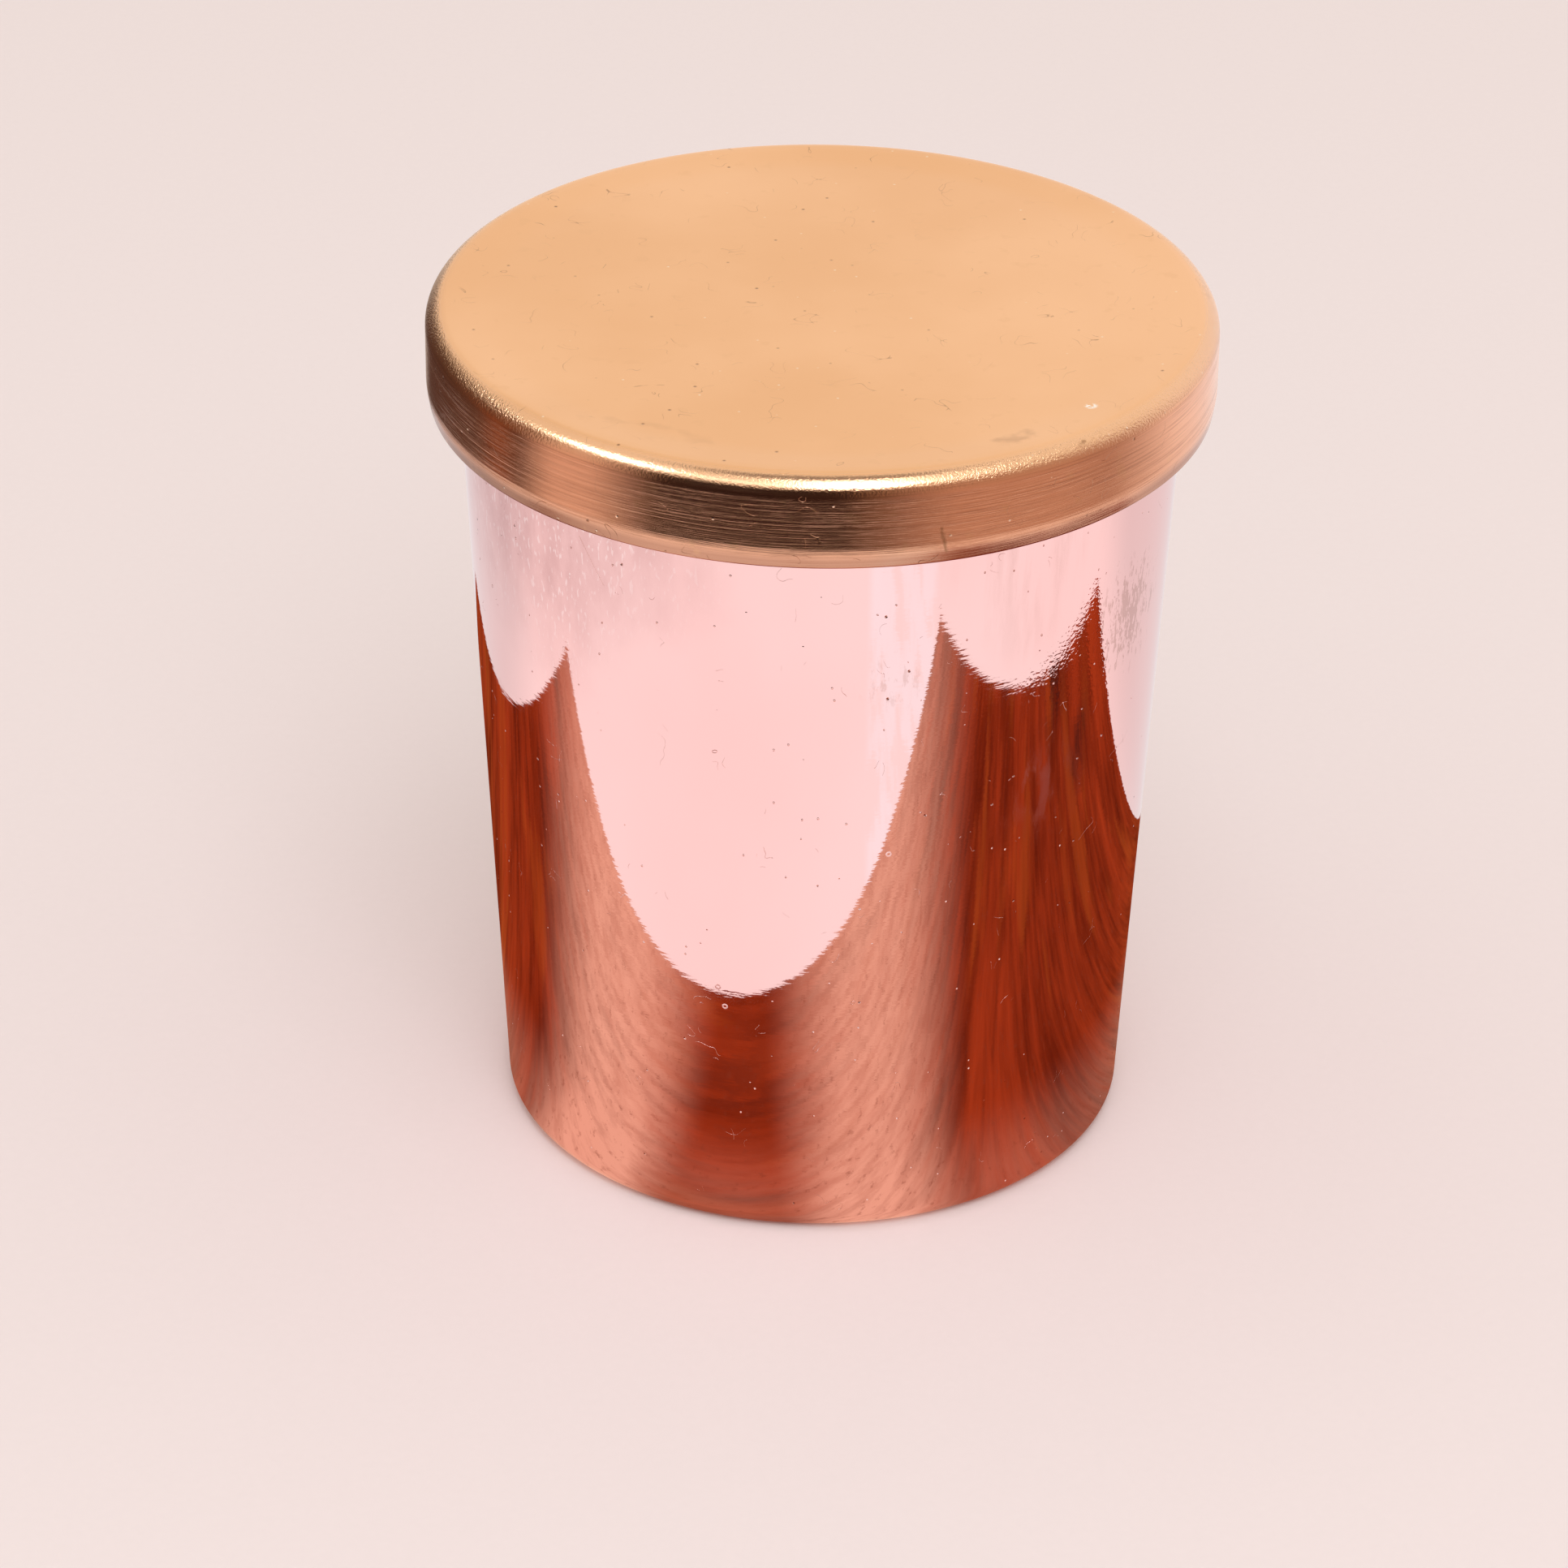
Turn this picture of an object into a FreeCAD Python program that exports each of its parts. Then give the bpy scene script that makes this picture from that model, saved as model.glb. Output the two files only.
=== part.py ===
"""A round, slightly tapered caddy: a plated glass jar closed by a pressed copper cap with a seal ring.

All sizes are millimetres. +Z is up, and the origin is the centre of the face the caddy stands on.
"""
import FreeCAD, Part
import math
import os

# Driving dimensions
overall_height = 100.0
lid_diameter = 88.5
lid_height = 10.8
jar_height = 98.0
mouth_diameter = 82.0       # outside of the glass at its rim
base_diameter = 71.7        # the tapered wall carried down to the base plane
wall_thickness = 3.0
base_thickness = 8.5

# Jar details
heel_round = 1.8
rim_round = 1.35
floor_round = 7.0
punt_radius = 27.5
punt_depth = 1.2
punt_slope = 1.6
punt_round = 1.5

# Pressed cap
shell_sheet = 0.8
shell_edge_round = 2.35
panel_depth = 0.3           # how far the flat of the top panel lies below its rim
panel_radius = 37.4
panel_rise_width = 4.0      # the panel rises gently to its rim over this width
panel_foot_round = 25.0
panel_rim_round = 12.0
hem_height = 1.9
hem_turn = 0.3              # how far the skirt's lower edge curls in
hem_round = 8.0
cut_edge_round = 0.3

# Inner cup, spot-welded under the cap's panel
cup_sheet = 0.6
cup_radius = 35.7
cup_depth = 7.0
cup_corner_round = 1.2
cup_flange = 1.0
cup_flange_round = 0.8
cup_edge_round = 0.2

# Seal ring, stretched over the inner cup
seal_slip = 0.05            # clearance to the cup's wall and flange, and to the cap's panel
seal_seat = 0.02            # clearance to the rim of the glass
seal_band = 0.95
seal_lip_radius = 40.3
seal_round = 0.25
seal_root_round = 0.4       # clears the bend between the cup's wall and its flange
fin_gap = 0.12              # clearance from each fin's tip to the glass
fin_count = 3
fin_first = 0.9             # from the ring's lower edge to the middle of the first fin's root
fin_pitch = 1.6
fin_root = 0.8
fin_tip = 0.36
fin_rise = 0.3

# Worked out from the sizes above
lid_radius = lid_diameter / 2
lid_bottom = overall_height - lid_height
panel_height = overall_height - panel_depth
panel_underside = panel_height - shell_sheet
cup_flange_top = panel_underside - cup_depth + cup_sheet


def outer_radius(height):
    """The outside of the tapered glass wall at a height."""
    return (base_diameter + (mouth_diameter - base_diameter) * height / jar_height) / 2


def inner_radius(height):
    """The inside of the glass wall at a height."""
    return outer_radius(height) - wall_thickness


def lathe(corners):
    """A solid of revolution about Z from closed (radius, height, corner round) corners."""
    points = [FreeCAD.Vector(r, 0, z) for r, z, _ in corners]
    edges = []
    line_ends = []
    for i, (_, _, corner_round) in enumerate(corners):
        to_last = (points[i - 1] - points[i]).normalize()
        to_next = (points[(i + 1) % len(points)] - points[i]).normalize()
        half_angle = to_last.getAngle(to_next) / 2
        reach = corner_round / math.tan(half_angle)
        start = points[i] + to_last * reach
        end = points[i] + to_next * reach
        line_ends.append((start, end))
        if corner_round:
            inward = (to_last + to_next).normalize()
            middle = points[i] + inward * (corner_round / math.sin(half_angle) - corner_round)
            edges.append(Part.Arc(start, middle, end).toShape())
    for i, (_, end) in enumerate(line_ends):
        next_start = line_ends[(i + 1) % len(line_ends)][0]
        edges.append(Part.LineSegment(end, next_start).toShape())
    wire = Part.Wire(Part.__sortEdges__(edges))
    return Part.Face(wire).revolve(FreeCAD.Vector(0, 0, 0), FreeCAD.Vector(0, 0, 1), 360)


def offset_path(path, thickness):
    """The path moved to its right by a sheet's thickness, with its bends kept concentric."""
    sides = []
    for (r0, z0, _), (r1, z1, _) in zip(path, path[1:]):
        length = math.hypot(r1 - r0, z1 - z0)
        right = ((z1 - z0) / length, -(r1 - r0) / length)
        sides.append(right)
    moved = [(path[0][0], path[0][1] + sides[0][1] * thickness, path[0][2])]
    for (r, z, bend), a, b in zip(path[1:-1], sides, sides[1:]):
        reach = thickness / (1 + a[0] * b[0] + a[1] * b[1])
        turns_right = a[0] * b[1] - a[1] * b[0] < 0
        new_bend = bend - thickness if turns_right else bend + thickness
        moved.append((r + (a[0] + b[0]) * reach, z + (a[1] + b[1]) * reach, new_bend))
    r, z, bend = path[-1]
    moved.append((r + sides[-1][0] * thickness, z + sides[-1][1] * thickness, bend))
    return moved


def pressed_sheet(path, thickness):
    """A round pressing: the path is its upper and outer face, from the axis to its cut edge."""
    return lathe(path + offset_path(path, thickness)[::-1])


def jar_body():
    """Pressed glass with a shallow punt, a rounded heel, a tapered wall and a fire-polished rim."""
    return lathe([
        (0, punt_depth, 0),
        (punt_radius - punt_slope, punt_depth, punt_round),
        (punt_radius, 0, punt_round),
        (outer_radius(0), 0, heel_round),
        (outer_radius(jar_height), jar_height, rim_round),
        (inner_radius(jar_height), jar_height, rim_round),
        (inner_radius(base_thickness), base_thickness, floor_round),
        (0, base_thickness, 0),
    ])


def lid_shell():
    """The cap: a top panel sunk a little inside its rim, a round edge, and a skirt with its hem curled in."""
    return pressed_sheet([
        (0, panel_height, 0),
        (panel_radius, panel_height, panel_foot_round),
        (panel_radius + panel_rise_width, overall_height, panel_rim_round),
        (lid_radius, overall_height, shell_edge_round),
        (lid_radius, lid_bottom + hem_height, hem_round),
        (lid_radius - hem_turn, lid_bottom, cut_edge_round),
    ], shell_sheet)


def lid_inner_cup():
    """The shallow cup that plugs the mouth, with a flange that keeps the seal ring on."""
    return pressed_sheet([
        (0, panel_underside, 0),
        (cup_radius, panel_underside, cup_corner_round),
        (cup_radius, cup_flange_top, cup_flange_round - cup_sheet),
        (cup_radius + cup_flange, cup_flange_top, cup_edge_round),
    ], cup_sheet)


def seal_ring():
    """A soft ring: a lip that lies on the rim of the glass, a band on the cup, and fins in the mouth."""
    inside = cup_radius + seal_slip
    top = panel_underside - seal_slip
    bottom = cup_flange_top + seal_slip
    lip_bottom = jar_height + seal_seat
    band_outside = inside + seal_band
    corners = [(inside, top, 0), (inside, bottom, seal_root_round), (band_outside, bottom, 0)]
    for i in range(fin_count):
        root = bottom + fin_first + i * fin_pitch
        tip = root + fin_rise
        tip_radius = inner_radius(tip - fin_tip / 2) - fin_gap
        corners += [
            (band_outside, root - fin_root / 2, 0),
            (tip_radius, tip - fin_tip / 2, fin_tip / 3),
            (tip_radius, tip + fin_tip / 2, fin_tip / 3),
            (band_outside, root + fin_root / 2, 0),
        ]
    corners += [
        (band_outside, lip_bottom, 0),
        (seal_lip_radius, lip_bottom, seal_round),
        (seal_lip_radius, top, seal_round),
    ]
    return lathe(corners)


def main():
    os.makedirs("parts", exist_ok=True)
    for make in (jar_body, lid_shell, lid_inner_cup, seal_ring):
        solid = make()
        solid.exportStep(f"parts/{make.__name__}.step")
        size = solid.optimalBoundingBox(True, False)
        print(f"{make.__name__}: valid {solid.isValid()}, {solid.Volume / 1000:.2f} cm3,"
              f" radius {size.XMax:.2f}, height {size.ZMin:.2f} to {size.ZMax:.2f}")


main()
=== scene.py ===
import math

import bpy
import bmesh
from mathutils import Matrix, Vector, noise


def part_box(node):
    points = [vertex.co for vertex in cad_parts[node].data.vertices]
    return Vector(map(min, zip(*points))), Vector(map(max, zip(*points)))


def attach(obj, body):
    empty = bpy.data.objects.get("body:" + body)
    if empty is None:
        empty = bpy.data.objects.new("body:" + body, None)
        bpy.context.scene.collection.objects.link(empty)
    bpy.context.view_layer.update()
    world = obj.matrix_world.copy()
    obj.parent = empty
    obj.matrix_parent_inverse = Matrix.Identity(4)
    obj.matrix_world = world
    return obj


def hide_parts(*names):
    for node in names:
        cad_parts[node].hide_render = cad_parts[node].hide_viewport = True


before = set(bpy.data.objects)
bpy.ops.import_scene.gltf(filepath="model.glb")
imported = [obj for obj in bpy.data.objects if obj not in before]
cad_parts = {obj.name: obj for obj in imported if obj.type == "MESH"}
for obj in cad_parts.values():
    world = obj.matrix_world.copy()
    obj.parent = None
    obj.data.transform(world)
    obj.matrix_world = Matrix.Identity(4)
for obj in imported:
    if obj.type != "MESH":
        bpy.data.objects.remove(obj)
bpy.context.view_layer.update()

MM = 0.001

# Sizes read from the parts in model.glb
jar_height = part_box("jar_body")[1].z
shell_low, shell_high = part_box("lid_shell")
cup_low, cup_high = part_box("lid_inner_cup")
seal_low, seal_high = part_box("seal_ring")
lid_radius = (shell_high.x - shell_low.x) / 2
cup_flange_radius = (cup_high.x - cup_low.x) / 2
seal_lip_radius = (seal_high.x - seal_low.x) / 2
overall_height = shell_high.z

# Jar details, as designed
foot_radius = 35.85 * MM
mouth_radius = 41.0 * MM
wall = 3.0 * MM
floor_height = 8.5 * MM
heel_round = 1.8 * MM
rim_round = 1.35 * MM
floor_round = 7.0 * MM
punt_radius = 27.5 * MM
punt_depth = 1.2 * MM
punt_slope = 1.6 * MM
punt_round = 1.5 * MM

# Cap details, as designed
shell_sheet = 0.8 * MM
panel_radius = 37.4 * MM
panel_rise_width = 4.0 * MM
panel_depth = 0.3 * MM
panel_foot_round = 25.0 * MM
panel_rim_round = 12.0 * MM
shell_edge_round = 2.35 * MM
hem_height = 1.9 * MM
hem_turn = 0.3 * MM
hem_round = 8.0 * MM
cut_edge_round = 0.3 * MM

# Inner cup and seal details, as designed
cup_sheet = 0.6 * MM
cup_radius = 35.7 * MM
cup_corner_round = 1.2 * MM
cup_flange_round = 0.8 * MM
cup_edge_round = 0.2 * MM
weld_count = 4
weld_ring = 20.0 * MM
weld_radius = 2.4 * MM
weld_depth = 0.22 * MM
seal_band = 0.95 * MM
seal_slip = 0.05 * MM
seal_seat = 0.02 * MM
seal_round = 0.25 * MM
seal_root_round = 0.4 * MM
fin_gap = 0.12 * MM
fin_count = 3
fin_first = 0.9 * MM
fin_pitch = 1.6 * MM
fin_root = 0.8 * MM
fin_tip = 0.36 * MM
fin_rise = 0.3 * MM

# Mesh fineness: steps along each profile, and segments round the axis
jar_step, jar_segments = 1.5 * MM, 360
shell_step, shell_segments = 0.9 * MM, 384
cup_step, cup_segments = 0.6 * MM, 384
seal_step, seal_segments = 0.5 * MM, 384

# The stage, in the cap's radii unless they are metres
floor_half = 4.0                        # metres
board_turn = math.radians(-24.9)
board_centre = (0.19, -0.15)
board_half_length = 2.88
board_half_width = 1.715
room_start = 3.95                       # where the table ends and the room begins
room_start_soft = 4.35
room_fade_low, room_fade_high = 0.45, 0.54      # metres up, where the backdrop turns into the world's light
card_distance = 0.9                     # metres
strip_distance = 0.85                   # metres
table_reach = 1.5                       # metres
wall_focus = 0.42                       # from the axis, where the round wall's mirror images lie


# ---------------------------------------------------------------- shapes

def outer_radius(height):
    """The outside of the tapered wall at a height."""
    return foot_radius + (mouth_radius - foot_radius) * height / jar_height


def inner_radius(height):
    """The inside of the wall at a height."""
    return outer_radius(height) - wall


def around(radius, degrees, height):
    """A place around the caddy's axis; 0 degrees is in front, towards the camera, and 90 is +X."""
    angle = math.radians(degrees)
    return Vector((radius * math.sin(angle), -radius * math.cos(angle), height))


def rounded_outline(corners, step, turn=math.radians(6)):
    """Points along closed (radius, height, round) corners: arcs at the corners, even steps between them."""
    places = [Vector((r, z)) for r, z, _ in corners]
    points = []
    last_end = None
    first_start = None
    for i, (_, _, corner_round) in enumerate(corners):
        to_last = (places[i - 1] - places[i]).normalized()
        to_next = (places[(i + 1) % len(places)] - places[i]).normalized()
        half = to_last.angle(to_next) / 2
        reach = corner_round / math.tan(half)
        start = places[i] + to_last * reach
        end = places[i] + to_next * reach
        arc = [start]
        if corner_round:
            centre = places[i] + (to_last + to_next).normalized() * (corner_round / math.sin(half))
            count = max(2, math.ceil((math.pi - 2 * half) / turn))
            arc = [slide_round(centre, start, end, k / count) for k in range(count + 1)]
        if last_end is not None:
            points += run_between(last_end, arc[0], step)
        else:
            first_start = arc[0]
        points += arc
        last_end = arc[-1]
    return points + run_between(last_end, first_start, step)


def slide_round(centre, start, end, part):
    """A point on the arc from start to end about centre."""
    a, b = start - centre, end - centre
    angle = math.atan2(a.x * b.y - a.y * b.x, a.dot(b)) * part
    return centre + Vector((a.x * math.cos(angle) - a.y * math.sin(angle),
                            a.x * math.sin(angle) + a.y * math.cos(angle)))


def run_between(start, end, step, guard=0.12 * MM):
    """Points inside a straight run, with one close to each end so that shading stays true to the run."""
    length = (end - start).length
    if length < 4 * guard:
        return []
    along = (end - start) / length
    inner = length - 2 * guard
    count = max(1, round(inner / step))
    return [start + along * (guard + inner * k / count) for k in range(count + 1)]


def on_axis(point):
    """True for a profile point (radius, height) that lies on the axis."""
    return point.x < 1e-6


def lathe(name, corners, step, segments, shape=None):
    """A closed solid of revolution. shape(x, y, z) may move each point a little, as real forming does."""
    outline = rounded_outline(corners, step)
    axis_end = [p for p in outline if on_axis(p)]
    profile = [p for p in outline if not on_axis(p)]
    mesh = bmesh.new()
    rings = []
    for point in profile:
        ring = []
        for k in range(segments):
            angle = 2 * math.pi * k / segments
            place = Vector((point.x * math.cos(angle), point.x * math.sin(angle), point.y))
            ring.append(mesh.verts.new(shape(place) if shape else place))
        rings.append(ring)
    for ring, after in zip(rings, rings[1:]):
        join_rings(mesh, ring, after)
    if axis_end:
        close_on_axis(mesh, rings[0], min(axis_end, key=lambda p: (p - profile[0]).length))
        close_on_axis(mesh, rings[-1], min(axis_end, key=lambda p: (p - profile[-1]).length))
    else:
        join_rings(mesh, rings[-1], rings[0])
    bmesh.ops.recalc_face_normals(mesh, faces=mesh.faces)
    data = bpy.data.meshes.new(name)
    mesh.to_mesh(data)
    mesh.free()
    data.shade_smooth()
    data.set_sharp_from_angle(angle=math.radians(40))
    piece = bpy.data.objects.new(name, data)
    bpy.context.scene.collection.objects.link(piece)
    return piece


def join_rings(mesh, ring, after):
    """A band of faces between two neighbouring rings of points."""
    count = len(ring)
    for k in range(count):
        mesh.faces.new((ring[k], ring[(k + 1) % count], after[(k + 1) % count], after[k]))


def close_on_axis(mesh, ring, point):
    """A fan of faces from a ring to a point on the axis."""
    tip = mesh.verts.new((0, 0, point.y))
    for k in range(len(ring)):
        mesh.faces.new((tip, ring[k], ring[(k + 1) % len(ring)]))


def offset_path(path, thickness):
    """The path moved to its right by a sheet's thickness, with its bends kept concentric."""
    sides = []
    for (r0, z0, _), (r1, z1, _) in zip(path, path[1:]):
        length = math.hypot(r1 - r0, z1 - z0)
        sides.append(((z1 - z0) / length, -(r1 - r0) / length))
    moved = [(path[0][0], path[0][1] + sides[0][1] * thickness, path[0][2])]
    for (r, z, bend), a, b in zip(path[1:-1], sides, sides[1:]):
        reach = thickness / (1 + a[0] * b[0] + a[1] * b[1])
        turns_right = a[0] * b[1] - a[1] * b[0] < 0
        new_bend = bend - thickness if turns_right else bend + thickness
        moved.append((r + (a[0] + b[0]) * reach, z + (a[1] + b[1]) * reach, new_bend))
    r, z, bend = path[-1]
    moved.append((r + sides[-1][0] * thickness, z + sides[-1][1] * thickness, bend))
    return moved


def glass_flow(place):
    """Pressed glass is never quite round: long shallow waves, stronger low on the wall."""
    low_down = max(0.0, 1 - place.z / (0.35 * jar_height))
    depth = (0.006 + 0.014 * low_down) * MM
    wave = noise.noise(place / (14 * MM)) + 0.35 * noise.noise(place / (5 * MM))
    outward = Vector((place.x, place.y, 0)).normalized()
    return place + outward * wave * depth


def pressed_flow(place):
    """A pressed sheet keeps a trace of its die: very shallow, wide waves."""
    wave = noise.noise(place / (18 * MM) + Vector((7, 3, 1)))
    return place + Vector((0, 0, wave * 0.012 * MM))


def weld_flow(place):
    """Each spot weld leaves a small round dimple in the cup."""
    depth = 0.0
    for k in range(weld_count):
        angle = 2 * math.pi * (k + 0.5) / weld_count
        away = math.hypot(place.x - weld_ring * math.cos(angle), place.y - weld_ring * math.sin(angle))
        if away < weld_radius:
            depth = weld_depth * (0.5 + 0.5 * math.cos(math.pi * away / weld_radius))
    return place + Vector((0, 0, depth))


def make_jar():
    """Pressed glass with a shallow punt, a rounded heel, a tapered wall and a fire-polished rim."""
    return lathe("jar_plated_glass", [
        (0, punt_depth, 0),
        (punt_radius - punt_slope, punt_depth, punt_round),
        (punt_radius, 0, punt_round),
        (foot_radius, 0, heel_round),
        (mouth_radius, jar_height, rim_round),
        (mouth_radius - wall, jar_height, rim_round),
        (inner_radius(floor_height), floor_height, floor_round),
        (0, floor_height, 0),
    ], jar_step, jar_segments, glass_flow)


def make_shell():
    """The cap: a top panel sunk a little inside its rim, a round edge, and a skirt with its hem curled."""
    panel_height = overall_height - panel_depth
    bottom = shell_low.z
    path = [
        (0, panel_height, 0),
        (panel_radius, panel_height, panel_foot_round),
        (panel_radius + panel_rise_width, overall_height, panel_rim_round),
        (lid_radius, overall_height, shell_edge_round),
        (lid_radius, bottom + hem_height, hem_round),
        (lid_radius - hem_turn, bottom, cut_edge_round),
    ]
    corners = path + offset_path(path, shell_sheet)[::-1]
    return lathe("lid_brushed_cap", corners, shell_step, shell_segments, pressed_flow)


def make_cup():
    """The shallow cup under the cap's panel, with its flange."""
    flange_top = cup_low.z + cup_sheet
    path = [
        (0, cup_high.z, 0),
        (cup_radius, cup_high.z, cup_corner_round),
        (cup_radius, flange_top, cup_flange_round - cup_sheet),
        (cup_flange_radius, flange_top, cup_edge_round),
    ]
    corners = path + offset_path(path, cup_sheet)[::-1]
    return lathe("lid_plug_cup", corners, cup_step, cup_segments, weld_flow)


def make_seal():
    """The soft ring: a lip that lies on the rim of the glass, a band on the cup, and fins in the mouth."""
    inside = cup_radius + seal_slip
    band_outside = inside + seal_band
    top, bottom = seal_high.z, seal_low.z
    lip_bottom = jar_height + seal_seat
    corners = [(inside, top, 0), (inside, bottom, seal_root_round), (band_outside, bottom, 0)]
    for i in range(fin_count):
        root = bottom + fin_first + i * fin_pitch
        tip = root + fin_rise
        tip_radius = inner_radius(tip - fin_tip / 2) - fin_gap
        corners += [
            (band_outside, root - fin_root / 2, 0),
            (tip_radius, tip - fin_tip / 2, fin_tip / 3),
            (tip_radius, tip + fin_tip / 2, fin_tip / 3),
            (band_outside, root + fin_root / 2, 0),
        ]
    corners += [
        (band_outside, lip_bottom, 0),
        (seal_lip_radius, lip_bottom, seal_round),
        (seal_lip_radius, top, seal_round),
    ]
    return lathe("lid_seal_ring", corners, seal_step, seal_segments)


# ---------------------------------------------------------------- materials

class Shader:
    """A material's node tree, built by short calls that return sockets."""

    def __init__(self, name):
        self.material = bpy.data.materials.new(name)
        self.material.use_nodes = True
        self.tree = self.material.node_tree
        self.bsdf = self.tree.nodes["Principled BSDF"]
        self.place = self.node("ShaderNodeTexCoord").outputs["Object"]

    def node(self, kind, **settings):
        """A new node, with its settings given by name."""
        made = self.tree.nodes.new(kind)
        for key, value in settings.items():
            setattr(made, key, value)
        return made

    def feed(self, socket, value):
        """Links an output to the socket, or gives the socket a plain value."""
        if isinstance(value, bpy.types.NodeSocket):
            self.tree.links.new(value, socket)
        else:
            socket.default_value = value

    def put(self, **inputs):
        """Sets or links inputs of the surface shader; base_color names Base Color."""
        for key, value in inputs.items():
            self.feed(self.bsdf.inputs[key.replace("_", " ").title().replace("Ior", "IOR")], value)

    def shine(self, colour):
        """Makes a card that gives off its own colour and mirrors nothing."""
        self.put(base_color=rgba(0, 0, 0), specular_ior_level=0.0)
        self.put(emission_color=colour, emission_strength=1.0)

    def math(self, operation, a, b=0.0, clamp=False):
        made = self.node("ShaderNodeMath", operation=operation, use_clamp=clamp)
        self.feed(made.inputs[0], a)
        self.feed(made.inputs[1], b)
        return made.outputs[0]

    def stretch(self, x, y, z, place=None):
        """The surface's own coordinates, or another place, times a factor for each axis."""
        made = self.node("ShaderNodeVectorMath", operation="MULTIPLY")
        self.feed(made.inputs[0], place or self.place)
        made.inputs[1].default_value = (x, y, z)
        return made.outputs[0]

    def even(self, scale, place=None):
        """The same stretch along all three axes."""
        return self.stretch(scale, scale, scale, place)

    def noise(self, place, detail=2.0, roughness=0.5, distortion=0.0):
        """Smooth noise about 0.5; the place's own stretch sets how fine it is."""
        made = self.node("ShaderNodeTexNoise")
        self.feed(made.inputs["Vector"], place)
        made.inputs["Scale"].default_value = 1.0
        made.inputs["Detail"].default_value = detail
        made.inputs["Roughness"].default_value = roughness
        made.inputs["Distortion"].default_value = distortion
        return made.outputs["Fac"]

    def fit(self, value, low, high, to_low=0.0, to_high=1.0, kind="SMOOTHSTEP"):
        """The value taken from the range low to high to the range to_low to to_high, and held inside it."""
        made = self.node("ShaderNodeMapRange", interpolation_type=kind)
        self.feed(made.inputs["Value"], value)
        for key, number in (("From Min", low), ("From Max", high), ("To Min", to_low), ("To Max", to_high)):
            made.inputs[key].default_value = number
        return made.outputs["Result"]

    def blend(self, factor, first, second):
        """The first colour at factor 0, the second at 1."""
        made = self.node("ShaderNodeMix", data_type="RGBA")
        self.feed(made.inputs["Factor"], factor)
        self.feed(made.inputs[6], first)
        self.feed(made.inputs[7], second)
        return made.outputs[2]

    def total(self, *values):
        result = values[0]
        for value in values[1:]:
            result = self.math("ADD", result, value)
        return result

    def times(self, *values):
        result = values[0]
        for value in values[1:]:
            result = self.math("MULTIPLY", result, value)
        return result

    def bump(self, height, depth, under=None):
        """Height 0 to 1 stands for depth metres."""
        made = self.node("ShaderNodeBump")
        made.inputs["Strength"].default_value = 1.0
        made.inputs["Distance"].default_value = depth
        self.feed(made.inputs["Height"], height)
        if under is not None:
            self.feed(made.inputs["Normal"], under)
        return made.outputs["Normal"]

    def specks(self, spacing, size, share, place=None):
        """Small round marks: 1 at a mark's middle, 0 away from it. share of the cells hold one."""
        made = self.node("ShaderNodeTexVoronoi")
        self.feed(made.inputs["Vector"], self.even(1 / spacing, place))
        made.inputs["Scale"].default_value = 1.0
        pick = self.node("ShaderNodeSeparateColor")
        self.feed(pick.inputs[0], made.outputs["Color"])
        chosen = self.math("LESS_THAN", pick.outputs[0], share)
        round_mark = self.fit(made.outputs["Distance"], size / spacing, 0.0)
        return self.times(round_mark, chosen)

    def near(self, spot, reach, full_within, wobble=0.0):
        """1 within a distance of a spot, falling to 0 at reach; wobble makes the edge uneven."""
        away = self.node("ShaderNodeVectorMath", operation="DISTANCE")
        self.feed(away.inputs[0], self.drifted(wobble, 0.35 / wobble) if wobble else self.place)
        away.inputs[1].default_value = spot
        return self.fit(away.outputs["Value"], reach, full_within)

    def drifted(self, reach, scale):
        """The surface's own coordinates, moved about unevenly by up to about reach."""
        drift = self.node("ShaderNodeTexNoise")
        self.feed(drift.inputs["Vector"], self.place)
        drift.inputs["Scale"].default_value = scale
        drift.inputs["Detail"].default_value = 3
        centred = self.node("ShaderNodeVectorMath", operation="SUBTRACT")
        self.feed(centred.inputs[0], drift.outputs["Color"])
        centred.inputs[1].default_value = (0.5, 0.5, 0.5)
        spread = self.node("ShaderNodeVectorMath", operation="MULTIPLY_ADD")
        self.feed(spread.inputs[0], centred.outputs[0])
        spread.inputs[1].default_value = (4 * reach, 4 * reach, 4 * reach)
        self.feed(spread.inputs[2], self.place)
        return spread.outputs[0]

    def bubble(self, spot, size=0.38 * MM):
        """A tiny blister: 1 on its rim, 0 at its middle and outside it."""
        blister = self.near(spot, size, 0.7 * size)
        hollow = self.near(spot, 0.6 * size, 0.3 * size)
        return self.math("SUBTRACT", blister, hollow)

    def scratch(self, start, end, width, reach=0.0, scale=1.0):
        """1 along the line from start to end, 0 away from it; reach and scale make it wander."""
        place = self.drifted(reach, scale) if reach else self.place
        from_start = self.node("ShaderNodeVectorMath", operation="SUBTRACT")
        self.feed(from_start.inputs[0], place)
        from_start.inputs[1].default_value = start
        line = end - start
        along = self.node("ShaderNodeVectorMath", operation="DOT_PRODUCT")
        self.feed(along.inputs[0], from_start.outputs[0])
        along.inputs[1].default_value = line / line.length_squared
        part = self.math("ADD", along.outputs["Value"], 0.0, clamp=True)
        foot = self.node("ShaderNodeVectorMath", operation="SCALE")
        foot.inputs[0].default_value = line
        self.feed(foot.inputs["Scale"], part)
        away = self.node("ShaderNodeVectorMath", operation="DISTANCE")
        self.feed(away.inputs[0], from_start.outputs[0])
        self.feed(away.inputs[1], foot.outputs[0])
        return self.fit(away.outputs["Value"], width, 0.0)

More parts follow.
